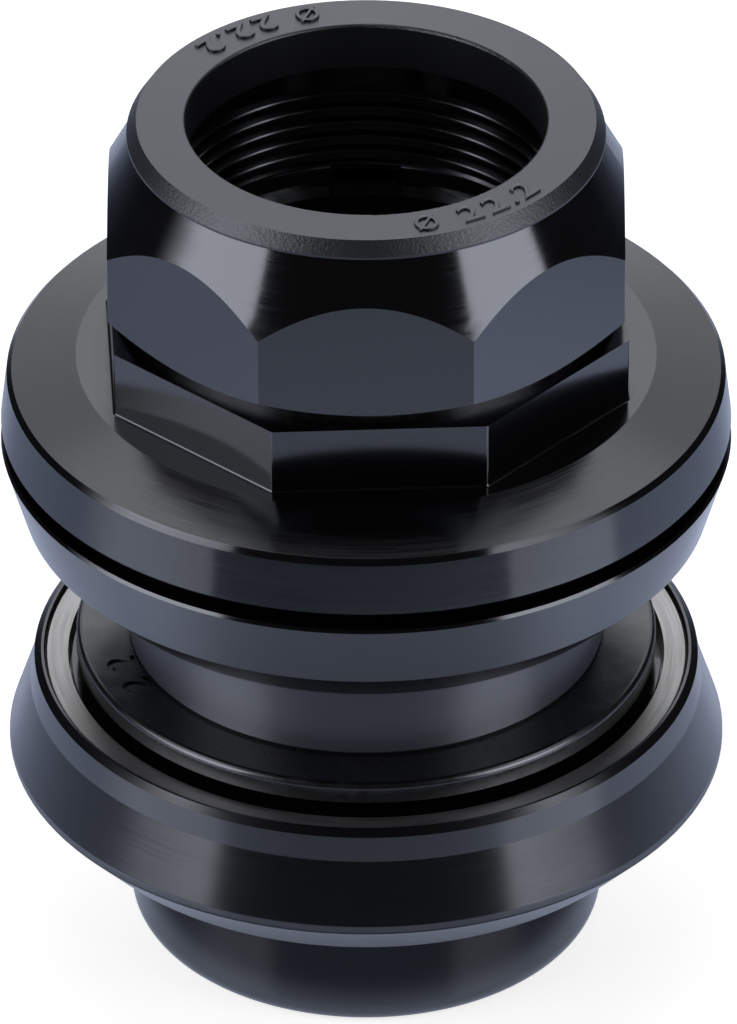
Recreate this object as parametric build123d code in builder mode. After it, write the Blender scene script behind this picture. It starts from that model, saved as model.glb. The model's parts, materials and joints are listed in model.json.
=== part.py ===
"""Threaded bicycle headset for a 1 inch steerer, standing as a bench stack.

From the bottom: the lower cup (skirt down, bearing up), the crown race on its balls, the upper cup
standing on the crown race, the adjusting race on its own balls, a keyed washer, the lock nut and the
stem seal. The axis is Z, the origin is the centre of the ring that it stands on, in millimetres.
Radii are chained from the steerer outwards and heights from the standing face upwards.
"""

import os
from math import cos, radians, tan

from build123d import *

# Steerer and stem
STEERER_D = 25.4
STEERER_WALL = 1.6
STEERER_GAP = 0.2
STEM_GAP = 0.1
THREAD_DEPTH = 0.5
THREAD_LEAD_IN = 0.5
CROWN_SEAT_WALL = 0.5

# Fits and edges
PRESS_GAP = 0.02
EDGE_BREAK = 0.2

# Ball bearing, the same in both cups
BALL_D = 3.969
BALL_GAP = 0.07
BALL_PLACES = 16
RACE_WALL = 0.95
RACE_TAIL = 1.7
TRACK_FLOOR = 0.95
MOUTH_STEP = 0.72
LIP_GAP = 0.55
CAGE_GAP = 0.25
CAGE_RISE = 0.4
CAGE_RING_WIDTH = 1.9
CAGE_RING_HEIGHT = 1.3
FINGER_GAP = 0.45
POCKET_GAP = 0.12
CAGE_OPENING_AT = 8.6
CAGE_OPENING = 20.0

# Lower cup
SKIRT_WALL = 2.2
SKIRT_ROUND = 1.7
LOWER_SKIRT_LENGTH = 9.8
LOWER_FLOOR = 3.25
LOWER_TRACK_WALL = 1.55
LOWER_TRACK_REACH = 2.9
LOWER_TRACK_RECESS = 0.3
LOWER_RIM_WALL = 0.53
LOWER_RIM_CHAMFER = 0.36
LOWER_RIM_TAPER = 0.36
LOWER_FLARE = 1.36
LOWER_CONE_HEIGHT = 4.05
LOWER_LAND = 0.5
LOWER_EDGE_ROUND = 0.3
LOWER_UNDER_HEIGHT = 2.95
LOWER_UNDER_WIDTH = 2.75

# Crown race
CROWN_LIP_SLOPE = 1.0
CROWN_LIP_HEIGHT = 1.35
CROWN_CHAMFER = 0.4

# Upper cup
UPPER_SKIRT_LENGTH = 7.15
UPPER_BORE_GAP = 0.2
UPPER_FLOOR = 2.6
UPPER_TRACK_WALL = 1.0
UPPER_TRACK_REACH = 1.35
UPPER_TRACK_RECESS = 0.45
UPPER_RIM_WALL = 3.05
UPPER_FLARE = 1.35
UPPER_UNDER_HEIGHT = 2.8
UPPER_UNDER_WIDTH = 2.8

# Adjusting race with its dust cover
COVER_GAP = 0.85
COVER_INSET = 0.03
COVER_TAPER = 0.48
COVER_RIM_HEIGHT = 3.93
COVER_SLOPE_HEIGHT = 1.06
COVER_FLAT_MARGIN = 0.88
COVER_EDGE_CHAMFER = 0.28
COVER_FOOT_CHAMFER = 0.4
CONE_LIP_SLOPE = 0.25
CONE_SEAT_DEPTH = 1.75
COLLAR_HEIGHT = 4.4
COLLAR_TURN = 3.0
COLLAR_ROOT_ROUND = 0.15

# Keyed washer
WASHER_WIDTH = 2.3
WASHER_THICK = 0.9
KEY_DEPTH = 1.3
KEY_WIDTH = 4.0

# Lock nut, the wrench flats that it shares with the collar, and the stem seal
FLAT_COUNT = 8
NUT_WALL = 3.8
CORNER_ROUND = 0.25
NUT_HEIGHT = 10.65
NUT_LIP = 1.08
NUT_CONE_ANGLE = 28.5
FOOT_INSET = 0.15
FOOT_ANGLE = 33.0
PLUG_STEP = 1.2
PLUG_DEPTH = 2.0
SEAL_OVERHANG = 0.35
SEAL_RIM_HEIGHT = 0.15
SEAL_BEVEL_HEIGHT = 0.9
SEAL_BEVEL_WIDTH = 0.6

# Radii, from the steerer outwards
thread_r = STEERER_D / 2 - THREAD_DEPTH
stem_bore_r = STEERER_D / 2 - STEERER_WALL + STEM_GAP
steerer_hole_r = STEERER_D / 2 + STEERER_GAP
skirt_r = steerer_hole_r + SKIRT_WALL
crown_seat_r = STEERER_D / 2 + CROWN_SEAT_WALL
upper_bore_r = crown_seat_r + UPPER_BORE_GAP
ball_r = BALL_D / 2
groove_r = ball_r + BALL_GAP
pitch_r = crown_seat_r + RACE_WALL + groove_r
mouth_r = pitch_r + groove_r + MOUTH_STEP
lip_r = mouth_r - LIP_GAP
cage_r = mouth_r - CAGE_GAP
lower_seat_r = mouth_r + LOWER_TRACK_WALL
lower_rim_r = lower_seat_r + LOWER_RIM_WALL
lower_neck_r = lower_rim_r + LOWER_RIM_TAPER
lower_wide_r = lower_neck_r + LOWER_FLARE
upper_seat_r = mouth_r + UPPER_TRACK_WALL
upper_rim_r = upper_seat_r + UPPER_RIM_WALL
upper_flare_r = upper_rim_r - UPPER_FLARE
cone_seat_r = lip_r + PRESS_GAP
cover_r = upper_rim_r - COVER_INSET
flat_r = thread_r + NUT_WALL
corner_r = flat_r / cos(radians(180 / FLAT_COUNT))
plug_r = thread_r + PLUG_STEP
plug_seat_r = plug_r + PRESS_GAP
nut_top_r = plug_seat_r + NUT_LIP
seal_r = nut_top_r + SEAL_OVERHANG

# Heights within a bearing, from the ball centres
cage_top = ball_r + CAGE_RISE
cage_low = cage_top - CAGE_RING_HEIGHT
lip_low = cage_top + CAGE_GAP
track_low = groove_r + TRACK_FLOOR

# Heights, from the standing face upwards
lower_face_z = LOWER_SKIRT_LENGTH
lower_wide_z = lower_face_z + LOWER_UNDER_HEIGHT
lower_cone_z = lower_wide_z + LOWER_LAND
lower_neck_z = lower_cone_z + LOWER_CONE_HEIGHT
lower_floor_z = lower_face_z + LOWER_FLOOR
lower_ball_z = lower_floor_z + track_low
lower_top_z = lower_ball_z + LOWER_TRACK_REACH + LOWER_TRACK_RECESS
crown_top_z = lower_ball_z + lip_low + CROWN_LIP_SLOPE + CROWN_LIP_HEIGHT
upper_face_z = crown_top_z + UPPER_SKIRT_LENGTH
upper_flare_z = upper_face_z + UPPER_UNDER_HEIGHT
upper_floor_z = upper_face_z + UPPER_FLOOR
upper_ball_z = upper_floor_z + track_low
upper_top_z = upper_ball_z + UPPER_TRACK_REACH + UPPER_TRACK_RECESS
cover_z = upper_top_z + COVER_GAP
cover_edge_z = cover_z + COVER_RIM_HEIGHT
cover_flat_z = cover_edge_z + COVER_SLOPE_HEIGHT
cone_top_z = cover_z + CONE_SEAT_DEPTH
collar_top_z = cover_flat_z + COLLAR_HEIGHT
nut_z = collar_top_z + WASHER_THICK
nut_top_z = nut_z + NUT_HEIGHT
plug_z = nut_top_z - PLUG_DEPTH
seal_edge_z = nut_top_z + SEAL_RIM_HEIGHT
seal_top_z = seal_edge_z + SEAL_BEVEL_HEIGHT


def corner_at(section, r, z):
    """The corner of a section sketch nearest to radius r and height z."""
    return section.vertices().sort_by_distance((r, z, 0))[0]


def thread_mouth(part):
    """The round edges of a part at the thread's radius, from the lowest to the highest."""
    rings = part.edges().filter_by(GeomType.CIRCLE)
    return rings.filter_by(lambda ring: abs(ring.radius - thread_r) < PRESS_GAP).sort_by(Axis.Z)


def collar_root(part):
    """The edges round the foot of the collar, where it rises from the cover's flat."""
    level = part.edges().filter_by_position(Axis.Z, cover_flat_z - PRESS_GAP, cover_flat_z + PRESS_GAP)
    return level.filter_by(lambda edge: edge.length < 2 * flat_r)


def wrench_flats(turn):
    """Eight-sided outline with eased corners, one flat facing the front, turned about the axis."""
    with BuildSketch(mode=Mode.PRIVATE) as outline:
        RegularPolygon(flat_r, FLAT_COUNT, major_radius=False, rotation=180 / FLAT_COUNT + turn)
        fillet(outline.vertices(), CORNER_ROUND)
    return outline.sketch


def cup_track(label, seat_r, ball_z, reach):
    """Steel cup track: a pressed-in ring with a quarter-round ball groove and a wider mouth."""
    outer_r = seat_r - PRESS_GAP
    floor_z = ball_z - track_low
    top_z = ball_z + reach
    mouth_z = ball_z + cage_low - CAGE_GAP
    with BuildPart() as track:
        with BuildSketch(Plane.XZ) as section:
            with BuildLine():
                Polyline(
                    (pitch_r, ball_z - groove_r),
                    (pitch_r, floor_z),
                    (outer_r, floor_z),
                    (outer_r, top_z),
                    (mouth_r, top_z),
                    (mouth_r, mouth_z),
                    (pitch_r + groove_r, mouth_z),
                    (pitch_r + groove_r, ball_z),
                )
                CenterArc((pitch_r, ball_z), groove_r, 270, 90)
            make_face()
            chamfer(corner_at(section, outer_r, floor_z), EDGE_BREAK)
            chamfer(corner_at(section, outer_r, top_z), EDGE_BREAK)
        revolve(axis=Axis.Z)
    track.part.label = label
    return track.part


def inner_race(label, bore_r, ball_z, lip_slope, top_z, lip_chamfer):
    """Steel inner race: a lip over the balls, a quarter-round groove and a tail down past them."""
    groove_foot_r = pitch_r - groove_r
    tail_z = ball_z - RACE_TAIL
    lip_z = ball_z + lip_low
    with BuildPart() as race:
        with BuildSketch(Plane.XZ) as section:
            with BuildLine():
                Polyline(
                    (pitch_r, ball_z + groove_r),
                    (pitch_r, lip_z),
                    (lip_r, lip_z + lip_slope),
                    (lip_r, top_z),
                    (bore_r, top_z),
                    (bore_r, tail_z),
                    (groove_foot_r, tail_z),
                    (groove_foot_r, ball_z),
                )
                CenterArc((pitch_r, ball_z), groove_r, 180, -90)
            make_face()
            chamfer(corner_at(section, lip_r, top_z), lip_chamfer)
            chamfer(corner_at(section, groove_foot_r, tail_z), EDGE_BREAK)
        revolve(axis=Axis.Z)
    race.part.label = label
    return race.part


def ball_angles():
    """Angles of the balls round the axis; the place at the retainer's opening has none."""
    step = 360 / BALL_PLACES
    return [CAGE_OPENING_AT + step * place for place in range(1, BALL_PLACES)]


def retainer(label, ball_z):
    """Open ring above and outside the balls, with fingers between them and one place left open."""
    ring_centre = (cage_r - CAGE_RING_WIDTH / 2, ball_z + cage_top - CAGE_RING_HEIGHT / 2)
    opening_reach = 2 * cage_r
    opening_half = opening_reach * tan(radians(CAGE_OPENING / 2))
    with BuildPart() as cage:
        with BuildSketch(Plane.XZ):
            with Locations((pitch_r, ball_z)):
                Circle(groove_r - FINGER_GAP)
            with Locations(ring_centre):
                Rectangle(CAGE_RING_WIDTH, CAGE_RING_HEIGHT)
        revolve(axis=Axis.Z)
        for angle in ball_angles():
            with Locations(Plane.XY.offset(ball_z).rotated((0, 0, angle))):
                with Locations((pitch_r, 0, 0)):
                    Sphere(ball_r + POCKET_GAP, mode=Mode.SUBTRACT)
        with BuildSketch(Plane.XY.offset(ball_z).rotated((0, 0, CAGE_OPENING_AT))):
            with BuildLine():
                Polyline(
                    (0, 0),
                    (opening_reach, -opening_half),
                    (opening_reach, opening_half),
                    close=True,
                )
            make_face()
        extrude(amount=cage_r, both=True, mode=Mode.SUBTRACT)
    cage.part.label = label
    return cage.part


def ball(label, angle, ball_z):
    """One steel ball on the pitch circle."""
    with BuildPart(Plane.XY.offset(ball_z).rotated((0, 0, angle))) as one_ball:
        with Locations((pitch_r, 0, 0)):
            Sphere(ball_r)
    one_ball.part.label = label
    return one_ball.part


# Lower cup: turned aluminium, skirt down, a flared cover round the bearing
with BuildPart() as lower_cup:
    with BuildSketch(Plane.XZ) as section:
        with BuildLine():
            Polyline(
                (steerer_hole_r, 0),
                (skirt_r, 0),
                (skirt_r, lower_face_z),
                (lower_wide_r - LOWER_UNDER_WIDTH, lower_face_z),
                (lower_wide_r, lower_wide_z),
                (lower_wide_r, lower_cone_z),
                (lower_neck_r, lower_neck_z),
                (lower_rim_r, lower_top_z),
                (lower_seat_r, lower_top_z),
                (lower_seat_r, lower_floor_z),
                (steerer_hole_r, lower_floor_z),
                close=True,
            )
        make_face()
        fillet(corner_at(section, skirt_r, 0), SKIRT_ROUND)
        fillet(corner_at(section, lower_wide_r, lower_wide_z), LOWER_EDGE_ROUND)
        fillet(corner_at(section, lower_wide_r, lower_cone_z), LOWER_EDGE_ROUND)
        chamfer(corner_at(section, lower_rim_r, lower_top_z), LOWER_RIM_CHAMFER)
    revolve(axis=Axis.Z)
lower_cup.part.label = "lower_cup"

# Upper cup: turned aluminium, skirt down on the crown race, its rim flaring up under the cover
with BuildPart() as upper_cup:
    with BuildSketch(Plane.XZ) as section:
        with BuildLine():
            Polyline(
                (upper_bore_r, crown_top_z),
                (skirt_r, crown_top_z),
                (skirt_r, upper_face_z),
                (upper_flare_r - UPPER_UNDER_WIDTH, upper_face_z),
                (upper_flare_r, upper_flare_z),
                (upper_rim_r, upper_top_z),
                (upper_seat_r, upper_top_z),
                (upper_seat_r, upper_floor_z),
                (upper_bore_r, upper_floor_z),
                close=True,
            )
        make_face()
        chamfer(corner_at(section, skirt_r, crown_top_z), EDGE_BREAK)
        fillet(corner_at(section, upper_flare_r, upper_flare_z), EDGE_BREAK)
        chamfer(corner_at(section, upper_rim_r, upper_top_z), EDGE_BREAK)
    revolve(axis=Axis.Z)
upper_cup.part.label = "upper_cup"

# Adjusting race: an eight-sided collar to turn it by, on a wide cover that hides the upper bearing
with BuildPart() as adjusting_race:
    with BuildSketch(Plane.XZ) as section:
        with BuildLine():
            Polyline(
                (thread_r, cone_top_z),
                (cone_seat_r, cone_top_z),
                (cone_seat_r, cover_z),
                (cover_r, cover_z),
                (cover_r - COVER_TAPER, cover_edge_z),
                (corner_r + COVER_FLAT_MARGIN, cover_flat_z),
                (thread_r, cover_flat_z),
                close=True,
            )
        make_face()
        chamfer(corner_at(section, cover_r, cover_z), COVER_FOOT_CHAMFER)
        chamfer(corner_at(section, cover_r - COVER_TAPER, cover_edge_z), COVER_EDGE_CHAMFER)
    revolve(axis=Axis.Z)
    with BuildSketch(Plane.XY.offset(cover_flat_z)):
        add(wrench_flats(COLLAR_TURN))
        Circle(thread_r, mode=Mode.SUBTRACT)
    extrude(amount=COLLAR_HEIGHT)
    fillet(collar_root(adjusting_race), COLLAR_ROOT_ROUND)
    chamfer(thread_mouth(adjusting_race)[-1], THREAD_LEAD_IN)
adjusting_race.part.label = "adjusting_race"

# Keyed washer: its key slides in a slot along the back of the steerer
with BuildPart() as lock_washer:
    with BuildSketch(Plane.XY.offset(collar_top_z)):
        Circle(steerer_hole_r + WASHER_WIDTH)
        Circle(steerer_hole_r, mode=Mode.SUBTRACT)
        with Locations((0, steerer_hole_r - KEY_DEPTH)):
            Rectangle(KEY_WIDTH, KEY_DEPTH + WASHER_WIDTH / 2, align=(Align.CENTER, Align.MIN))
    extrude(amount=WASHER_THICK)
lock_washer.part.label = "lock_washer"

# Lock nut: eight flats turned to a long cone above and to a chamfered foot below
with BuildPart() as lock_nut:
    foot_r = flat_r - FOOT_INSET
    blank_r = corner_r + EDGE_BREAK
    foot_height = (blank_r - foot_r) * tan(radians(FOOT_ANGLE))
    cone_height = (blank_r - nut_top_r) / tan(radians(NUT_CONE_ANGLE))
    with BuildSketch(Plane.XZ):
        with BuildLine():
            Polyline(
                (thread_r, nut_z),
                (foot_r, nut_z),
                (blank_r, nut_z + foot_height),
                (blank_r, nut_top_z - cone_height),
                (nut_top_r, nut_top_z),
                (plug_seat_r, nut_top_z),
                (plug_seat_r, plug_z),
                (thread_r, plug_z),
                close=True,
            )
        make_face()
    revolve(axis=Axis.Z)
    with BuildSketch(Plane.XY.offset(nut_z)):
        add(wrench_flats(0))
    extrude(amount=NUT_HEIGHT, mode=Mode.INTERSECT)
    chamfer(thread_mouth(lock_nut)[0], THREAD_LEAD_IN)
lock_nut.part.label = "lock_nut"

# Stem seal: a moulded ring whose plug snaps into the nut and whose bore hugs the stem
with BuildPart() as stem_seal:
    with BuildSketch(Plane.XZ) as section:
        with BuildLine():
            Polyline(
                (stem_bore_r, plug_z),
                (plug_r, plug_z),
                (plug_r, nut_top_z),
                (seal_r, nut_top_z),
                (seal_r, seal_edge_z),
                (seal_r - SEAL_BEVEL_WIDTH, seal_top_z),
                (stem_bore_r, seal_top_z),
                close=True,
            )
        make_face()
        fillet(corner_at(section, stem_bore_r, seal_top_z), EDGE_BREAK)
    revolve(axis=Axis.Z)
stem_seal.part.label = "stem_seal"

pieces = [
    lower_cup.part,
    cup_track("lower_cup_track", lower_seat_r, lower_ball_z, LOWER_TRACK_REACH),
    retainer("lower_retainer", lower_ball_z),
    inner_race("crown_race", crown_seat_r, lower_ball_z, CROWN_LIP_SLOPE, crown_top_z, CROWN_CHAMFER),
    upper_cup.part,
    cup_track("upper_cup_track", upper_seat_r, upper_ball_z, UPPER_TRACK_REACH),
    retainer("upper_retainer", upper_ball_z),
    inner_race("upper_cone", steerer_hole_r, upper_ball_z, CONE_LIP_SLOPE, cone_top_z, EDGE_BREAK),
    adjusting_race.part,
    lock_washer.part,
    lock_nut.part,
    stem_seal.part,
]
for number, angle in enumerate(ball_angles(), start=1):
    pieces.append(ball(f"lower_ball_{number:02d}", angle, lower_ball_z))
    pieces.append(ball(f"upper_ball_{number:02d}", angle, upper_ball_z))

os.makedirs("parts", exist_ok=True)
for piece in pieces:
    export_step(piece, f"parts/{piece.label}.step")
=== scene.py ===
"""Bicycle headset: finishes for its turned, moulded and ground pieces, its threads and size marks,
and the studio that it stands in. Lengths are in metres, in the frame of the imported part."""

import json
from math import cos, hypot, pi, radians, sin, tan

import bpy
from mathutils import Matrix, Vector


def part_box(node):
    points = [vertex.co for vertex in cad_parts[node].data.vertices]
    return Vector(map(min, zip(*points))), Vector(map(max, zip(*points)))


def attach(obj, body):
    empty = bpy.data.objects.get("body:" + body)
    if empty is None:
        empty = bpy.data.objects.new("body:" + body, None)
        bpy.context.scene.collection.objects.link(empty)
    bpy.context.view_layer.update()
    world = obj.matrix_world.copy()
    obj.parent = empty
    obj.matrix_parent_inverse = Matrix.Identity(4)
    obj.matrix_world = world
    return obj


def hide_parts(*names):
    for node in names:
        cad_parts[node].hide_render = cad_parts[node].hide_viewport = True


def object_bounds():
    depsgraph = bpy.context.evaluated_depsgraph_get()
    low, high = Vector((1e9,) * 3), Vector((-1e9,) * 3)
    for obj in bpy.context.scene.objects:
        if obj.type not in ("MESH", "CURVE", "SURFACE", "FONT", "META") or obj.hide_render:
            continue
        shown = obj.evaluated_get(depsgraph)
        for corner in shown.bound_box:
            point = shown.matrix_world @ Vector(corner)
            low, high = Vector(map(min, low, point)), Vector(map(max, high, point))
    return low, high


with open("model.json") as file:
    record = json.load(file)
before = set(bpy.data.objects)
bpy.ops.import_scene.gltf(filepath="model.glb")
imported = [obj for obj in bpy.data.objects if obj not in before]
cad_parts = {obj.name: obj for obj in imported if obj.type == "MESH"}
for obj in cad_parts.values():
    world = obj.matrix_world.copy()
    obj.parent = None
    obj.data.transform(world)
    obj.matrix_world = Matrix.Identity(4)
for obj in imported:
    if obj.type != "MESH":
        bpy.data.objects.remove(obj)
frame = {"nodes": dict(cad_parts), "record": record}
cad_low, cad_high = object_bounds()

MM = 0.001

# Heights and radii of the pieces that carry a detail
seal_low, seal_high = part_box("stem_seal")
nut_low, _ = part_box("lock_nut")
_, collar_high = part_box("adjusting_race")
_, cone_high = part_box("upper_cone")
_, crown_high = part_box("crown_race")
mounts = {mount["name"]: mount for mount in frame["record"]["mounts"]}
bore_radius = mounts["steerer_thread"]["dims"]["r_mm"] * MM

# Threads of the lock nut and the adjusting race, 24 to the inch
THREAD_PITCH = 25.4 / 24 * MM
THREAD_HEIGHT = 0.42 * MM
THREAD_CREST_SHARE = 0.16
THREAD_FLANK_ANGLE = 30.0
THREAD_CREST_BREAK = 0.08 * MM
THREAD_ROOT_DEPTH = 0.04 * MM
THREAD_STEPS = 120
THREAD_END_ROOM = 0.35 * MM
THREAD_FADE_TURNS = 0.5
THREAD_SHADE_ANGLE = 10.0

# Size marks: raised twice on the stem seal, stamped once in the crown race
LETTER_SIZE = 2.6 * MM
LETTER_CURVE_STEPS = 6
LETTER_BEVEL_STEPS = 1
MERGE_DISTANCE = 0.002 * MM
SEAL_MARK = "Ø22.2"
SEAL_MARK_ANGLES = (-73.4, -60.7, -52.7, -47.0, -41.6)
SEAL_MARK_WIDTHS = (1.5 * MM, 1.3 * MM, 1.3 * MM, 0.3 * MM, 1.3 * MM)
SEAL_MARK_TURNS = (0.0, 180.0)
SEAL_MARK_RADIUS = 12.9 * MM
SEAL_MARK_HEIGHT = 1.65 * MM
SEAL_MARK_RISE = 0.15 * MM
SEAL_MARK_BEVEL = 0.03 * MM
SEAL_MARK_WEIGHT = 0.035 * MM
SEAL_MARK_SHADE_ANGLE = 35.0
DOT_HEIGHT = 0.3 * MM
CROWN_MARK = "22"
CROWN_MARK_ANGLES = (206.8, 197.5)
CROWN_MARK_WIDTH = 1.45 * MM
CROWN_MARK_RADIUS = 16.2 * MM
CROWN_MARK_HEIGHT = 1.95 * MM
CROWN_MARK_DEPTH = 0.16 * MM
CROWN_MARK_WEIGHT = 0.03 * MM

# Crown race: the chamfer of its lip, rounded off
LIP_EDGE = 0.4 * MM
LIP_CUTS = 5
LIP_REACH = 0.02 * MM
LIP_CREASE_REACH = LIP_REACH / 4
CROWN_SHADE_ANGLE = 20.0

# Rings that a lathe leaves: how fast they pass on a wall against a flat face, and their fineness
RING_CLIMB = 1.5
RING_DETAIL = 2.0

# Black anodised surfaces: relief of the turned faces, on a wall and on a level face, the milled flats, and
# the quarter turn that lays the stretched gloss along a slope
RING_PITCH = 0.2 * MM
RING_DRIFT = 7 * MM
RING_DEPTH = 0.005 * MM
RING_SHARES = (0.32, 0.3)
RING_GLOSS_SPAN = (-0.2, 0.2)
GRAIN_SHARES = (0.12, 0.3)
GRAIN_SCALE = 8000.0
LEVEL_SPAN = (0.85, 0.95)
FLATS_RADIUS = 17.6 * MM
FLATS_FOOT = 41.4 * MM
FLATS_STEEPNESS = 0.1
FLATS_ROUGHNESS = 0.1
GLOSS_TURN = 0.25

# The upper cup's press skirt, duller than the rest, shaded as if it leaned, and lighter in colour than the
# rest as painted light for what it reflects
UPPER_SKIRT_RADIUS = 15.15 * MM
UPPER_SKIRT_FOOT = 20.9 * MM
UPPER_SKIRT_TOP = 28.2 * MM
UPPER_SKIRT_LEAN = 0.11
UPPER_SKIRT_RELIEF = 0.25
UPPER_SKIRT_DULLNESS = 0.28
# Painted light: a lighter colour on the skirt than on the rest of the anodised surface
UPPER_SKIRT_PAINTED_LIGHT_TONE = (0.04, 0.0425, 0.052)

# The stem seal: steepness of its bevel and of its top, which is shaded as if it fell outwards
SEAL_BEVEL_START = (0.3, 0.45)
SEAL_BEVEL_END = (0.75, 0.9)
SEAL_TOP_SPAN = (0.9, 0.98)
SEAL_TOP_LEAN = 0.07


class Nodes:
    """A node tree, and short ways to add and join its nodes."""

    def __init__(self, owner):
        owner.use_nodes = True
        self.tree = owner.node_tree

    def add(self, kind, **settings):
        made = self.tree.nodes.new(kind)
        for name, value in settings.items():
            setattr(made, name, value)
        return made

    def join(self, source, target):
        self.tree.links.new(source, target)

    def put(self, socket, value):
        """Links an output to a socket, or sets the socket's own value."""
        if isinstance(value, bpy.types.NodeSocket):
            self.join(value, socket)
        else:
            socket.default_value = value

    def feed(self, node, **sockets):
        """Puts outputs or values into a node's sockets, by the sockets' names."""
        for name, value in sockets.items():
            self.put(node.inputs[name.replace("_", " ")], value)

    def math(self, operation, first, second=0.0):
        made = self.add("ShaderNodeMath", operation=operation)
        self.put(made.inputs[0], first)
        self.put(made.inputs[1], second)
        return made.outputs[0]

    def ramp(self, value, low, high, to_low, to_high):
        """A smooth step of a value, from one number to another."""
        made = self.add("ShaderNodeMapRange", interpolation_type="SMOOTHSTEP")
        for socket, number in zip(made.inputs, (value, low, high, to_low, to_high)):
            self.put(socket, number)
        return made.outputs[0]

    def parts(self, vector):
        """A vector's three parts."""
        made = self.add("ShaderNodeSeparateXYZ")
        self.join(vector, made.inputs[0])
        return [made.outputs[axis] for axis in "XYZ"]


class Finish(Nodes):
    """A node material: its shader, and the patterns that finishes share."""

    def __init__(self, name, **sockets):
        self.material = bpy.data.materials.new(name)
        super().__init__(self.material)
        self.shader = self.tree.nodes["Principled BSDF"]
        self.feed(self.shader, **sockets)

    def noise(self, vector, scale, detail=2.0, roughness=0.5):
        made = self.add("ShaderNodeTexNoise")
        self.feed(made, Vector=vector, Scale=scale, Detail=detail, Roughness=roughness)
        return made.outputs[0]

    def tones(self, value, dark, pale):
        """A colour between two, which are numbers or outputs, by a value from 0 to 1."""
        made = self.add("ShaderNodeMix", data_type="RGBA")
        self.join(value, made.inputs["Factor"])
        for name, colour in (("A", dark), ("B", pale)):
            self.put(made.inputs[name], (*colour, 1) if isinstance(colour, tuple) else colour)
        return made.outputs["Result"]

    def coordinates(self):
        """Object coordinates."""
        return self.add("ShaderNodeTexCoord").outputs["Object"]

    def place(self):
        """Object coordinates, and the distance from the axis and the height in them."""
        coordinates = self.coordinates()
        x, y, height = self.parts(coordinates)
        squares = [self.math("MULTIPLY", side, side) for side in (x, y)]
        radius = self.math("SQRT", self.math("ADD", *squares))
        return coordinates, radius, height

    def steepness(self):
        """How far a face is turned up or down: 0 on a wall, 1 on a flat top."""
        normal = self.add("ShaderNodeNewGeometry").outputs["Normal"]
        return self.math("ABSOLUTE", self.parts(normal)[2])

    def turned_lines(self, pitch, drift):
        """Fine rings that a lathe tool leaves, from -0.5 to 0.5, slowly changing along each ring."""
        coordinates, radius, height = self.place()
        travel = self.math("SUBTRACT", radius, self.math("MULTIPLY", height, RING_CLIMB))
        slow = self.add("ShaderNodeVectorMath", operation="SCALE")
        self.join(coordinates, slow.inputs[0])
        self.feed(slow, Scale=1 / drift)
        lines = self.add("ShaderNodeTexNoise", noise_dimensions="4D")
        self.feed(lines, Vector=slow.outputs[0], W=self.math("MULTIPLY", travel, 1 / pitch))
        self.feed(lines, Scale=1.0, Detail=RING_DETAIL)
        return self.math("SUBTRACT", lines.outputs[0], 0.5)

    def bump(self, height, distance, strength=1.0, under=None):
        """Relief on the surface, or on another relief that lies under it."""
        made = self.add("ShaderNodeBump")
        self.feed(made, Height=height, Distance=distance, Strength=strength)
        if under is not None:
            self.feed(made, Normal=under)
        self.feed(self.shader, Normal=made.outputs[0])
        return made.outputs[0]

    def added(self, first, second):
        """Two shaders added up."""
        made = self.add("ShaderNodeAddShader")
        self.join(first, made.inputs[0])
        self.join(second, made.inputs[1])
        return made.outputs[0]


def turned_mask(finish, radius, height, steep):
    """1 on every turned face, 0 on the wrench flats, which are milled."""
    outside_flats = finish.math("GREATER_THAN", radius, FLATS_RADIUS)
    below_flats = finish.math("LESS_THAN", height, FLATS_FOOT)
    sloped = finish.math("GREATER_THAN", steep, FLATS_STEEPNESS)
    return finish.math("MAXIMUM", finish.math("MAXIMUM", outside_flats, below_flats), sloped)


def skirt_mask(finish, radius, height):
    """1 on the upper cup's press skirt, 0 elsewhere."""
    skirt = finish.math("LESS_THAN", radius, UPPER_SKIRT_RADIUS)
    for side, limit in (("GREATER_THAN", UPPER_SKIRT_FOOT), ("LESS_THAN", UPPER_SKIRT_TOP)):
        skirt = finish.math("MULTIPLY", skirt, finish.math(side, height, limit))
    return skirt


def anodised_relief(finish, rings, grain, steep):
    """Rings and grain in their shares on walls and on level faces."""
    level = finish.ramp(steep, *LEVEL_SPAN, 0, 1)
    rings = finish.math("MULTIPLY", rings, finish.ramp(level, 0, 1, *RING_SHARES))
    grain = finish.math("MULTIPLY", grain, finish.ramp(level, 0, 1, *GRAIN_SHARES))
    return finish.math("ADD", rings, grain)


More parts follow.
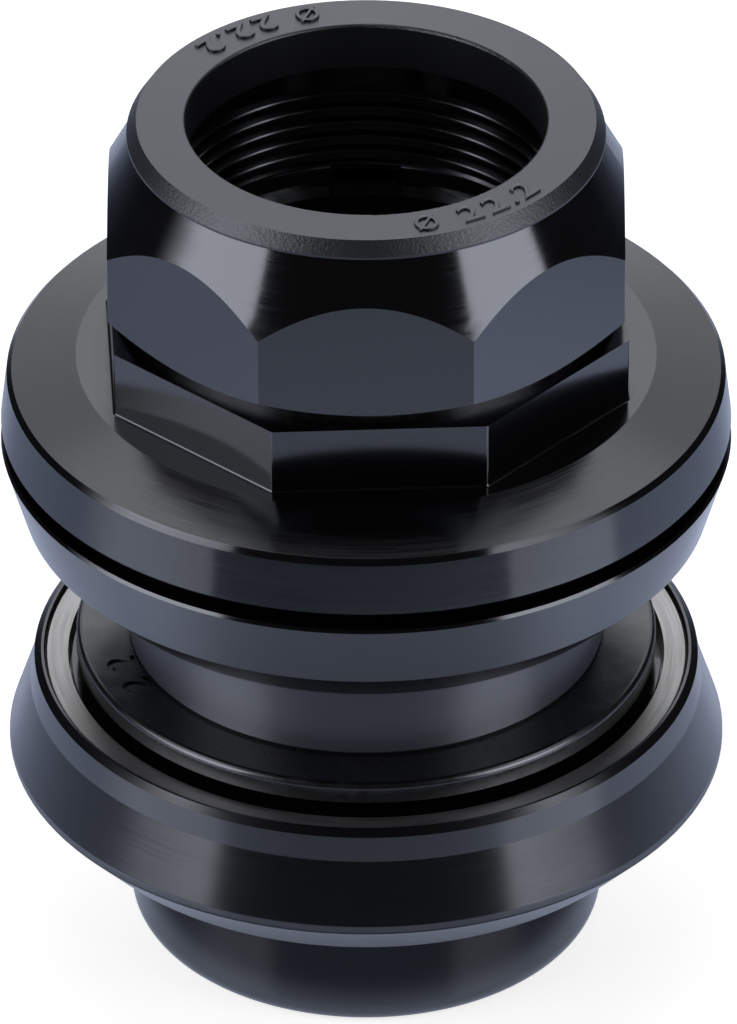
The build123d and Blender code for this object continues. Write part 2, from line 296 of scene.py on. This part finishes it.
def black_anodised(name, stretch, smooth, rough):
    """Black anodised aluminium: turned rings everywhere but on the wrench flats, which are milled.

    Its gloss is stretched along a slope and runs from smooth to rough between the rings."""
    finish = Finish(name, IOR=1.9, Anisotropic=stretch, Anisotropic_Rotation=GLOSS_TURN)
    coordinates, radius, height = finish.place()
    steep = finish.steepness()
    turned = turned_mask(finish, radius, height, steep)
    skirt = skirt_mask(finish, radius, height)
    lines = finish.turned_lines(RING_PITCH, RING_DRIFT)
    grain = finish.noise(coordinates, GRAIN_SCALE)
    relief = anodised_relief(finish, finish.math("MULTIPLY", lines, turned), grain, steep)
    relief = finish.math("MULTIPLY", relief, finish.ramp(skirt, 0, 1, 1, UPPER_SKIRT_RELIEF))
    depth = finish.math("SUBTRACT", UPPER_SKIRT_TOP, height)
    lean = finish.math("MULTIPLY", depth, UPPER_SKIRT_LEAN / RING_DEPTH)
    finish.bump(finish.math("ADD", relief, finish.math("MULTIPLY", skirt, lean)), RING_DEPTH)
    patches = finish.noise(coordinates, scale=260.0, detail=3.0)
    tone = finish.tones(patches, dark=(0.001, 0.001, 0.0013), pale=(0.0022, 0.0022, 0.0028))
    gloss = finish.ramp(lines, *RING_GLOSS_SPAN, smooth, rough)
    gloss = finish.math("MULTIPLY", finish.math("SUBTRACT", gloss, FLATS_ROUGHNESS), turned)
    gloss = finish.math("ADD", gloss, FLATS_ROUGHNESS)
    gloss = finish.math("ADD", gloss, finish.math("MULTIPLY", skirt, UPPER_SKIRT_DULLNESS))
    tangent = finish.add("ShaderNodeTangent", direction_type="RADIAL", axis="Z")
    # Painted light: the skirt takes a lighter colour than the rest
    finish.feed(finish.shader, Base_Color=finish.tones(skirt, tone, UPPER_SKIRT_PAINTED_LIGHT_TONE))
    finish.feed(finish.shader, Roughness=gloss, Tangent=tangent.outputs[0])
    return finish.material


def black_steel():
    """Black oxide on ground steel, smudged by handling."""
    finish = Finish("black_steel", IOR=2.0)
    smudges = finish.noise(finish.coordinates(), scale=700.0, detail=4.0, roughness=0.6)
    tone = finish.tones(smudges, dark=(0.0008, 0.0008, 0.0008), pale=(0.0045, 0.0042, 0.0038))
    gloss = finish.ramp(smudges, low=0.25, high=0.75, to_low=0.2, to_high=0.3)
    finish.feed(finish.shader, Base_Color=tone, Roughness=gloss)
    finish.bump(finish.turned_lines(pitch=0.2 * MM, drift=6 * MM), distance=0.001 * MM)
    return finish.material


def track_steel():
    """Hardened bearing steel, satin ground and warm grey."""
    finish = Finish("track_steel", Metallic=1.0)
    stains = finish.noise(finish.coordinates(), scale=330.0, detail=4.0)
    tone = finish.tones(stains, dark=(0.4, 0.387, 0.366), pale=(0.56, 0.545, 0.52))
    lines = finish.turned_lines(pitch=0.15 * MM, drift=5 * MM)
    gloss = finish.ramp(lines, low=-0.25, high=0.25, to_low=0.36, to_high=0.48)
    finish.feed(finish.shader, Base_Color=tone, Roughness=gloss)
    finish.bump(lines, distance=0.004 * MM)
    return finish.material


def ball_steel():
    """Polished bearing balls with a film of grease."""
    finish = Finish("ball_steel", Metallic=1.0)
    film = finish.noise(finish.coordinates(), scale=900.0, detail=3.0)
    tone = finish.tones(film, dark=(0.68, 0.665, 0.63), pale=(0.8, 0.79, 0.765))
    gloss = finish.ramp(film, low=0.35, high=0.65, to_low=0.06, to_high=0.18)
    finish.feed(finish.shader, Base_Color=tone, Roughness=gloss)
    return finish.material


def cage_plastic():
    """Glossy black moulded retainer."""
    finish = Finish("cage_plastic", IOR=1.85)
    flow = finish.noise(finish.coordinates(), scale=500.0, detail=4.0)
    tone = finish.tones(flow, dark=(0.002, 0.002, 0.0024), pale=(0.004, 0.0042, 0.005))
    gloss = finish.ramp(flow, low=0.3, high=0.7, to_low=0.1, to_high=0.2)
    finish.feed(finish.shader, Base_Color=tone, Roughness=gloss)
    finish.bump(flow, distance=0.006 * MM)
    return finish.material


def seal_plastic():
    """Black moulded plastic: satin on top and in the bore, spark-eroded grain on the bevel; dark grey on
    top, with painted shade making the bevel and the bore walls near black.
    """
    finish = Finish("seal_plastic", IOR=1.9)
    coordinates, radius, _ = finish.place()
    steep = finish.steepness()
    bevel = finish.ramp(steep, *SEAL_BEVEL_START, 0, 1)
    bevel = finish.math("MULTIPLY", bevel, finish.ramp(steep, *SEAL_BEVEL_END, 1, 0))
    flat = finish.ramp(steep, *SEAL_TOP_SPAN, 0, 1)
    grain = finish.noise(coordinates, scale=4500.0, detail=3.0, roughness=0.6)
    cloud = finish.noise(coordinates, scale=500.0, detail=3.0)
    # Painted shade: the steeper faces, bevel and bore walls, take a near-black instead of the top's dark
    # grey
    top = finish.tones(cloud, dark=(0.022, 0.0245, 0.031), pale=(0.028, 0.031, 0.039))
    tone = finish.tones(flat, dark=(0.002, 0.0021, 0.0025), pale=top)
    gloss = finish.ramp(bevel, low=0, high=1, to_low=0.36, to_high=0.42)
    finish.feed(finish.shader, Base_Color=tone, Roughness=gloss)
    fall = finish.bump(finish.math("MULTIPLY", radius, -SEAL_TOP_LEAN / MM), MM, flat)
    grain_strength = finish.ramp(bevel, low=0, high=1, to_low=0.08, to_high=1.0)
    finish.bump(grain, distance=0.035 * MM, strength=grain_strength, under=fall)
    return finish.material


FINISHES = {
    "black_anodised": black_anodised("black_anodised", stretch=0.8, smooth=0.12, rough=0.18),
    "black_anodised_cup": black_anodised("black_anodised_cup", stretch=0.5, smooth=0.2, rough=0.23),
    "black_steel": black_steel(),
    "track_steel": track_steel(),
    "ball_steel": ball_steel(),
    "cage_plastic": cage_plastic(),
    "seal_plastic": seal_plastic(),
}


def dress(piece, slot):
    """Gives a piece one of the finishes, and no other."""
    piece.data.materials.clear()
    piece.data.materials.append(FINISHES[slot])


def dress_cad_nodes():
    """Every CAD node takes the finish of the slot that it was packed with, the lower cup a softer one."""
    for piece in frame["nodes"].values():
        dress(piece, piece.data.materials[0].name)
    dress(frame["nodes"]["lower_cup"], "black_anodised_cup")


def deselect_all():
    """Nothing selected, so that the next operator acts on what is added after it."""
    bpy.ops.object.select_all(action="DESELECT")


def take_up(piece):
    """Makes a piece the one that the next operator acts on."""
    deselect_all()
    piece.select_set(True)
    bpy.context.view_layer.objects.active = piece


def settle(piece, slot, body):
    """Gives a finished piece its finish, its slot and the body that it moves with."""
    dress(piece, slot)
    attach(piece, body)


def thread_section():
    """A thread's section: its root radius, half its width there, and its corners as radius and rise."""
    root_r = bore_radius + THREAD_ROOT_DEPTH
    crest_r = bore_radius - THREAD_HEIGHT
    flank = tan(radians(THREAD_FLANK_ANGLE))
    crest_half = THREAD_CREST_SHARE * THREAD_PITCH / 2
    root_half = crest_half + (root_r - crest_r) * flank
    break_half = crest_half + THREAD_CREST_BREAK * flank
    top_half = break_half - THREAD_CREST_BREAK
    lower = ((root_r, -root_half), (crest_r + THREAD_CREST_BREAK, -break_half), (crest_r, -top_half))
    upper = [(r, -rise) for r, rise in reversed(lower)]
    return root_r, root_half, (*lower, *upper)


def thread_ridge(name, low, high, body):
    """A helical ridge on the wall of a threaded bore, fading into it at both ends."""
    root_r, root_half, section = thread_section()
    first = low + THREAD_END_ROOM + root_half
    turns = int((high - THREAD_END_ROOM - root_half - first) / THREAD_PITCH)
    deselect_all()
    bpy.ops.mesh.primitive_circle_add(vertices=len(section), radius=THREAD_PITCH)
    ridge = bpy.context.object
    ridge.name = name
    for vertex, (r, rise) in zip(ridge.data.vertices, section):
        vertex.co = (r, 0, first + rise)
    wind = ridge.modifiers.new("wind", "SCREW")
    wind.screw_offset = THREAD_PITCH
    wind.iterations = turns
    wind.steps = wind.render_steps = THREAD_STEPS
    bpy.ops.object.modifier_apply(modifier=wind.name)
    close_ends()
    for vertex in ridge.data.vertices:
        turn = (vertex.co.z - first) / THREAD_PITCH
        keep = min(1, max(0, min(turn, turns - turn) / THREAD_FADE_TURNS))
        radius = hypot(vertex.co.x, vertex.co.y)
        grown = (root_r - (root_r - radius) * keep) / radius
        vertex.co.x *= grown
        vertex.co.y *= grown
    bpy.ops.object.shade_smooth_by_angle(angle=radians(THREAD_SHADE_ANGLE))
    settle(ridge, "black_anodised", body)


def close_ends():
    """Caps the two open ends of the swept section in hand and turns its faces outwards."""
    bpy.ops.object.mode_set(mode="EDIT")
    bpy.ops.mesh.select_all(action="DESELECT")
    bpy.ops.mesh.select_mode(type="EDGE")
    bpy.ops.mesh.select_non_manifold()
    bpy.ops.mesh.edge_face_add()
    bpy.ops.mesh.select_all(action="SELECT")
    bpy.ops.mesh.normals_make_consistent(inside=False)
    bpy.ops.object.mode_set(mode="OBJECT")


def lettering(name, text, thick, bevel, weight):
    """One character as a solid mesh, with its middle plane at z = 0."""
    deselect_all()
    bpy.ops.object.text_add()
    letter = bpy.context.object
    letter.name = name
    letter.data.body = text
    letter.data.size = LETTER_SIZE
    letter.data.extrude = thick / 2 - bevel
    letter.data.bevel_depth = bevel
    letter.data.bevel_resolution = LETTER_BEVEL_STEPS
    letter.data.offset = weight - bevel
    letter.data.resolution_u = LETTER_CURVE_STEPS
    bpy.ops.object.convert(target="MESH")
    bpy.ops.object.mode_set(mode="EDIT")
    bpy.ops.mesh.select_all(action="SELECT")
    bpy.ops.mesh.remove_doubles(threshold=MERGE_DISTANCE)
    bpy.ops.mesh.normals_make_consistent(inside=False)
    bpy.ops.object.mode_set(mode="OBJECT")
    return bpy.context.object


def lay_round(letter, angle, radius, wide, tall, level, outward):
    """Bends a character round the axis at an angle, its top outward (1) or towards the bore (-1)."""
    corners = [vertex.co.copy() for vertex in letter.data.vertices]
    left = min(corner.x for corner in corners)
    right = max(corner.x for corner in corners)
    foot = min(corner.y for corner in corners)
    top = max(corner.y for corner in corners)
    for vertex, corner in zip(letter.data.vertices, corners):
        along = (corner.x - (left + right) / 2) / (right - left) * wide
        up = (corner.y - (foot + top) / 2) / (top - foot) * tall
        turned = radians(angle) - outward * along / radius
        distance = radius + outward * up
        vertex.co = (distance * cos(turned), distance * sin(turned), level + corner.z)


def raised_size_marks():
    """The stem's diameter, moulded twice on the top of the stem seal."""
    for side, turn in enumerate(SEAL_MARK_TURNS, start=1):
        for place, character in enumerate(SEAL_MARK):
            name = f"seal_mark_{side}_{place + 1}"
            letter = lettering(name, character, 2 * SEAL_MARK_RISE, SEAL_MARK_BEVEL, SEAL_MARK_WEIGHT)
            tall = DOT_HEIGHT if character == "." else SEAL_MARK_HEIGHT
            radius = SEAL_MARK_RADIUS + (SEAL_MARK_HEIGHT - tall) / 2
            angle = SEAL_MARK_ANGLES[place] + turn
            lay_round(letter, angle, radius, SEAL_MARK_WIDTHS[place], tall, seal_high.z, -1)
            bpy.ops.object.shade_smooth_by_angle(angle=radians(SEAL_MARK_SHADE_ANGLE))
            settle(letter, "seal_plastic", "adjuster_set")


def cut_away(piece, tool):
    """Takes the shape of a tool out of a piece, and the tool out of the scene."""
    take_up(piece)
    cut = piece.modifiers.new("cut", "BOOLEAN")
    cut.operation = "DIFFERENCE"
    cut.solver = "EXACT"
    cut.object = tool
    bpy.ops.object.modifier_apply(modifier=cut.name)
    bpy.data.objects.remove(tool)


def lip_place(vertex):
    """A corner's distance from the axis, and whether it lies on the crown race's lip."""
    radius = hypot(vertex.co.x, vertex.co.y)
    outside = radius > crown_high.x - LIP_EDGE - LIP_REACH
    return radius, outside and vertex.co.z > crown_high.z - LIP_EDGE - LIP_REACH


def round_lip(race):
    """Turns the chamfer round the top of the crown race's lip into a fillet."""
    bpy.ops.object.mode_set(mode="EDIT")
    bpy.ops.mesh.select_mode(type="FACE")
    bpy.ops.mesh.select_all(action="DESELECT")
    bpy.ops.object.mode_set(mode="OBJECT")
    for face in race.data.polygons:
        corners = [race.data.vertices[index] for index in face.vertices]
        face.select = all(lip_place(corner)[1] for corner in corners)
    bpy.ops.object.mode_set(mode="EDIT")
    bpy.ops.mesh.subdivide(number_cuts=LIP_CUTS)
    bpy.ops.object.mode_set(mode="OBJECT")
    for vertex in race.data.vertices:
        radius, on_lip = lip_place(vertex)
        if on_lip:
            across = (radius - crown_high.x - vertex.co.z + crown_high.z) / LIP_EDGE
            angle = pi / 4 * (1 - across)
            grown = (crown_high.x - LIP_EDGE * (1 - cos(angle))) / radius
            vertex.co.x *= grown
            vertex.co.y *= grown
            vertex.co.z = crown_high.z - LIP_EDGE * (1 - sin(angle))


def crease_lip(race):
    """Keeps the shading of the fillet off the flat and the wall that it runs into."""
    for edge in race.data.edges:
        corners = [race.data.vertices[index] for index in edge.vertices]
        at_flat = all(corner.co.z > crown_high.z - LIP_CREASE_REACH for corner in corners)
        at_wall = all(lip_place(corner)[0] > crown_high.x - LIP_CREASE_REACH for corner in corners)
        if all(lip_place(corner)[1] for corner in corners) and (at_flat or at_wall):
            edge.use_edge_sharp = True


def stamped_crown_race():
    """The crown race with a rounded lip and two digits stamped in its flat; it stands for the plain one."""
    race = frame["nodes"]["crown_race"].copy()
    race.data = race.data.copy()
    race.name = "crown_race_stamped"
    bpy.context.scene.collection.objects.link(race)
    take_up(race)
    bpy.ops.object.mode_set(mode="EDIT")
    bpy.ops.mesh.select_all(action="SELECT")
    bpy.ops.mesh.remove_doubles(threshold=MERGE_DISTANCE)
    bpy.ops.object.mode_set(mode="OBJECT")
    bpy.ops.mesh.customdata_custom_splitnormals_clear()
    round_lip(race)
    for character, angle in zip(CROWN_MARK, CROWN_MARK_ANGLES):
        punch = lettering("punch", character, 2 * CROWN_MARK_DEPTH, 0, CROWN_MARK_WEIGHT)
        lay_round(punch, angle, CROWN_MARK_RADIUS, CROWN_MARK_WIDTH, CROWN_MARK_HEIGHT, crown_high.z, 1)
        cut_away(race, punch)
    bpy.ops.object.shade_smooth_by_angle(angle=radians(CROWN_SHADE_ANGLE))
    crease_lip(race)
    settle(race, "black_steel", "crown_race_set")
    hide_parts("crown_race")


dress_cad_nodes()
thread_ridge("lock_nut_thread", nut_low.z, seal_low.z, "adjuster_set")
thread_ridge("adjusting_race_thread", cone_high.z, collar_high.z, "adjuster_set")
raised_size_marks()
stamped_crown_race()


# Camera: the photograph's view, from the front and above
CAMERA_ELEVATION = 33.29
CAMERA_DISTANCE = 750 * MM
CAMERA_TARGET = Vector((0.15, 0, 29.29)) * MM
CAMERA_LENS = 417.2
CAMERA_SENSOR = 36.0
CAMERA_NEAR = 10 * MM
CAMERA_FAR = 10.0

# Tall soft panels at the sides, each over a span of angles from the camera's side
PANEL_DISTANCE = 550 * MM
PANEL_LOW = 5 * MM
PANEL_HIGH = 620 * MM
PANEL_RADIANCE = 3.1
PANEL_COLOUR = (0.84, 0.88, 1.0)
PANEL_TOP_DROP = 0.45
PANEL_TOP_SOFTNESS = 0.04
PANEL_FOOT_RISE = 0.25
PANEL_FOOT_SOFTNESS = 0.06
LEFT_PANEL = (46.0, 99.0)
LEFT_FADE = 0.42
LEFT_FOOT = (0.45, 0.75)
RIGHT_PANEL = (43.0, 81.0)
RIGHT_FADE = 0.08
RIGHT_FOOT = (0.7, 1.0)

# A small panel high at each side
HIGH_ANGLE = 86.0
HIGH_ELEVATION = 50.0
HIGH_DISTANCE = 600 * MM
HIGH_SIZE = (200 * MM, 160 * MM)
HIGH_RADIANCE = 2.0

# A wide panel behind and above, dimmer from its middle to its sides and evener higher up
BACK_ELEVATION = 42.0
BACK_DISTANCE = 700 * MM
BACK_SIZE = (760 * MM, 950 * MM)
BACK_RADIANCE = 1.25
BACK_COLOUR = (0.9, 0.93, 1.0)
BACK_SIDE_REACH = 0.3
BACK_SIDE_LEVEL = 0.56
BACK_EVEN_SPAN = (0.48, 0.64)
BACK_EVEN_WIDTH = 0.2

# The room, and the floor as the camera sees it
SURROUNDINGS = 0.02
FLOOR_SIZE = 6.0
FLOOR_DROP = 0.01 * MM
FLOOR_COLOUR = (0.82, 0.82, 0.82, 1)
FLOOR_GLOW = 0.74
FLOOR_GLOW_COLOUR = (1, 0.985, 0.955, 1)

# The floor as reflections see it: a cool sheet with painted light and shade in its colour, a painted pool of
# glowing light round the part, and a gloss over them.
# A slant is 0 where the floor is seen from straight above and 1 where it is seen along its face
SHEET_COLOUR = (0.7, 0.78, 1.0)
SHEET_LEVEL = 0.36
SHEET_REACH = (150 * MM, 350 * MM)
SHEET_FAR_SHARE = 0.3
SHEET_SLANTS = (0.42, 0.85)
SHEET_SLANT_SHARE = 0.36
# Painted light beside and behind the part, none in front of it
SHEET_SIDES = 2.5
SHEET_SIDES_REACH = (15 * MM, 50 * MM)
SHEET_FRONT_REACH = (-100 * MM, -55 * MM)
SHEET_BACK = 1.5
SHEET_BACK_REACH = (-20 * MM, 40 * MM)
# Painted pool of light, a glow with no lamp, round the part and under it, with a painted shadow ring close
# round its foot
POOL_LEVEL = 0.42
POOL_MIDDLE = (15 * MM, -30 * MM, 0)
POOL_REACH = (62 * MM, 110 * MM)
PAINTED_SHADOW_RING_REACH = (24 * MM, 40 * MM)
POOL_UNDER_REACH = (17 * MM, 20 * MM)
POOL_UNDER_LEVEL = 1.4
POOL_SLANTS = (0.8, 0.93)
POOL_SLANT_SHARE = 0.25
GLOSS_ROUGHNESS = 0.12
GLOSS_RISE_SLANTS = (0.45, 0.66)
GLOSS_SHARES = (0.06, 0.24)
GLOSS_END_SLANTS = (0.72, 0.88)


def soft_panel(name, middle, aim, size, radiance, colour):
    """A rectangular soft light at a place, turned to face another."""
    deselect_all()
    bpy.ops.object.light_add(type="AREA", location=middle)
    panel = bpy.context.object
    panel.name = name
    panel.data.shape = "RECTANGLE"
    panel.data.size, panel.data.size_y = size
    panel.data.energy = radiance * pi * size[0] * size[1]
    panel.data.color = colour
    panel.rotation_euler = (aim - middle).to_track_quat("-Z", "Y").to_euler()
    return panel


def panel_nodes(panel):
    """A panel's nodes, with how far a point lies across it and up it, from 0 to 1."""
    nodes = Nodes(panel.data)
    across, up, _ = nodes.parts(nodes.add("ShaderNodeNewGeometry").outputs["Parametric"])
    return nodes, across, up


def grade_side(panel, side, fade, foot_span):
    """Lets a side panel's light fade at its outer edge, with its top and foot drawn in towards that edge."""
    nodes, across, up = panel_nodes(panel)
    outward = across if side > 0 else nodes.math("SUBTRACT", 1.0, across)
    level = nodes.ramp(outward, 1 - fade, 1, 1, 0)
    top = nodes.math("SUBTRACT", 1.0, nodes.math("MULTIPLY", outward, PANEL_TOP_DROP))
    above = nodes.math("SUBTRACT", up, top)
    level = nodes.math("MULTIPLY", level, nodes.ramp(above, -PANEL_TOP_SOFTNESS, PANEL_TOP_SOFTNESS, 1, 0))
    foot = nodes.ramp(outward, *foot_span, 0, PANEL_FOOT_RISE)
    below = nodes.math("SUBTRACT", foot, up)
    level = nodes.math("MULTIPLY", level, nodes.ramp(below, 0, PANEL_FOOT_SOFTNESS, 1, 0))
    nodes.feed(nodes.tree.nodes["Emission"], Strength=level)


def grade_back(panel):
    """Lets the back panel's light fall off towards its sides, less so higher up."""
    nodes, across, up = panel_nodes(panel)
    aside = nodes.math("ABSOLUTE", nodes.math("SUBTRACT", across, 0.5))
    aside = nodes.math("SUBTRACT", aside, nodes.ramp(up, *BACK_EVEN_SPAN, 0, BACK_EVEN_WIDTH))
    level = nodes.ramp(aside, 0, BACK_SIDE_REACH, 1, BACK_SIDE_LEVEL)
    nodes.feed(nodes.tree.nodes["Emission"], Strength=level)


def side_panel(name, span, side, fade, foot_span):
    """A tall panel over a span of angles from the camera's side, on the left (-1) or right (+1)."""
    angle = radians(sum(span) / 2)
    half = radians((span[1] - span[0]) / 2)
    aim = Vector((0, 0, (PANEL_LOW + PANEL_HIGH) / 2))
    middle = aim + PANEL_DISTANCE * Vector((side * sin(angle), -cos(angle), 0))
    size = (2 * PANEL_DISTANCE * tan(half), PANEL_HIGH - PANEL_LOW)
    panel = soft_panel(name, middle, aim, size, PANEL_RADIANCE, PANEL_COLOUR)
    grade_side(panel, side, fade, foot_span)


def high_panel(name, side):
    """A small panel high at one side, for the glints in the thread."""
    angle = radians(HIGH_ANGLE)
    elevation = radians(HIGH_ELEVATION)
    level = cos(elevation) * Vector((side * sin(angle), -cos(angle), 0))
    aim = Vector((0, 0, seal_low.z))
    middle = aim + HIGH_DISTANCE * (level + Vector((0, 0, sin(elevation))))
    soft_panel(name, middle, aim, HIGH_SIZE, HIGH_RADIANCE, PANEL_COLOUR)


def back_panel():
    """A wide panel behind and above, for the faces that look up."""
    elevation = radians(BACK_ELEVATION)
    middle = BACK_DISTANCE * Vector((0, cos(elevation), sin(elevation)))
    grade_back(soft_panel("back_panel", middle, CAMERA_TARGET, BACK_SIZE, BACK_RADIANCE, BACK_COLOUR))


def floor_sheet_painted_light(finish, coordinates, radius, slant):
    """A cool matt sheet with painted light and shade in its colour: brighter beside the part and behind it,
    darker far off, and darker at a slant.
    """
    x, y, _ = finish.parts(coordinates)
    # Painted light: the sheet's colour is raised beside the part and behind it, and lowered far off as
    # painted shade
    aside = finish.ramp(finish.math("ABSOLUTE", x), *SHEET_SIDES_REACH, 0, SHEET_SIDES)
    aside = finish.math("MULTIPLY", aside, finish.ramp(y, *SHEET_FRONT_REACH, 0, 1))
    aside = finish.math("MULTIPLY", aside, finish.ramp(y, *SHEET_BACK_REACH, 1, SHEET_BACK))
    level = finish.ramp(radius, *SHEET_REACH, SHEET_LEVEL, SHEET_LEVEL * SHEET_FAR_SHARE)
    level = finish.math("MULTIPLY", finish.math("ADD", aside, 1.0), level)
    facing = finish.ramp(slant, *SHEET_SLANTS, 1, SHEET_SLANT_SHARE)
    sheet = finish.add("ShaderNodeBsdfDiffuse")
    tint = finish.tones(finish.math("MULTIPLY", facing, level), (0, 0, 0), SHEET_COLOUR)
    finish.feed(sheet, Color=tint)
    return sheet.outputs[0]


def floor_painted_light_pool(finish, coordinates, radius, slant):
    """A painted pool of light: the floor glows round the part and, brighter, under it, with a painted shadow
    ring close round its foot.
    """
    # Painted shadow close round the part, painted light under it
    beside = finish.ramp(radius, *PAINTED_SHADOW_RING_REACH, 0, 1)
    below = finish.ramp(radius, *POOL_UNDER_REACH, POOL_UNDER_LEVEL, 0)
    away = finish.add("ShaderNodeVectorMath", operation="DISTANCE")
    finish.put(away.inputs[0], coordinates)
    finish.put(away.inputs[1], POOL_MIDDLE)
    reach = finish.ramp(away.outputs["Value"], *POOL_REACH, 1, 0)
    level = finish.math("MULTIPLY", finish.math("MAXIMUM", beside, below), reach)
    facing = finish.ramp(slant, *POOL_SLANTS, POOL_LEVEL, POOL_LEVEL * POOL_SLANT_SHARE)
    pool = finish.add("ShaderNodeEmission")
    finish.feed(pool, Color=(*SHEET_COLOUR, 1), Strength=finish.math("MULTIPLY", level, facing))
    return pool.outputs[0]


def floor_gloss(finish, slant):
    """The floor's own reflection, which grows with the slant and ends before the far floor."""
    share = finish.ramp(slant, *GLOSS_RISE_SLANTS, *GLOSS_SHARES)
    share = finish.math("MULTIPLY", share, finish.ramp(slant, *GLOSS_END_SLANTS, 1, 0))
    gloss = finish.add("ShaderNodeBsdfGlossy")
    finish.feed(gloss, Color=finish.tones(share, (0, 0, 0), (1, 1, 1)), Roughness=GLOSS_ROUGHNESS)
    return gloss.outputs[0]


def floor_finish():
    """Pale floor: white to the camera but for the object's shadow; to reflections a cool glossy sheet with
    painted light and shade and a painted glowing pool.
    """
    finish = Finish("floor", IOR=1.5, Roughness=0.7, Base_Color=FLOOR_COLOUR)
    coordinates, radius, _ = finish.place()
    path = finish.add("ShaderNodeLightPath")
    glow = finish.math("MULTIPLY", path.outputs["Is Camera Ray"], FLOOR_GLOW)
    finish.feed(finish.shader, Emission_Color=FLOOR_GLOW_COLOUR, Emission_Strength=glow)
    slant = finish.add("ShaderNodeLayerWeight").outputs["Facing"]
    sheet = floor_sheet_painted_light(finish, coordinates, radius, slant)
    pool = floor_painted_light_pool(finish, coordinates, radius, slant)
    mirrored = finish.added(finish.added(sheet, pool), floor_gloss(finish, slant))
    either = finish.add("ShaderNodeMixShader")
    sources = (path.outputs["Is Glossy Ray"], finish.shader.outputs[0], mirrored)
    for source, socket in zip(sources, either.inputs):
        finish.join(source, socket)
    finish.feed(finish.tree.nodes["Material Output"], Surface=either.outputs[0])
    return finish.material


def lay_floor():
    """The floor, just under the part's foot."""
    deselect_all()
    bpy.ops.mesh.primitive_plane_add(size=FLOOR_SIZE, location=(0, 0, cad_low.z - FLOOR_DROP))
    floor = bpy.context.object
    floor.name = "floor"
    floor.data.materials.append(floor_finish())


def surroundings():
    """A dark room, and white wherever the camera looks past the floor."""
    world = bpy.data.worlds.new("studio")
    nodes = Nodes(world)
    camera_ray = nodes.add("ShaderNodeLightPath").outputs["Is Camera Ray"]
    level = nodes.math("MAXIMUM", camera_ray, SURROUNDINGS)
    nodes.feed(nodes.tree.nodes["Background"], Color=(1, 1, 1, 1), Strength=level)
    bpy.context.scene.world = world


def photograph_camera():
    """The photograph's view: far off, a long lens, aimed at the middle of the stack."""
    elevation = radians(CAMERA_ELEVATION)
    back = Vector((0, -cos(elevation), sin(elevation)))
    deselect_all()
    bpy.ops.object.camera_add(location=CAMERA_TARGET + CAMERA_DISTANCE * back)
    camera = bpy.context.object
    camera.rotation_euler = (-back).to_track_quat("-Z", "Y").to_euler()
    camera.data.sensor_width = CAMERA_SENSOR
    camera.data.lens = CAMERA_LENS
    camera.data.clip_start = CAMERA_NEAR
    camera.data.clip_end = CAMERA_FAR
    bpy.context.scene.camera = camera


side_panel("left_panel", LEFT_PANEL, -1, LEFT_FADE, LEFT_FOOT)
side_panel("right_panel", RIGHT_PANEL, 1, RIGHT_FADE, RIGHT_FOOT)
high_panel("left_high_panel", -1)
high_panel("right_high_panel", 1)
back_panel()
lay_floor()
surroundings()
photograph_camera()
bpy.context.scene.view_settings.view_transform = "Standard"
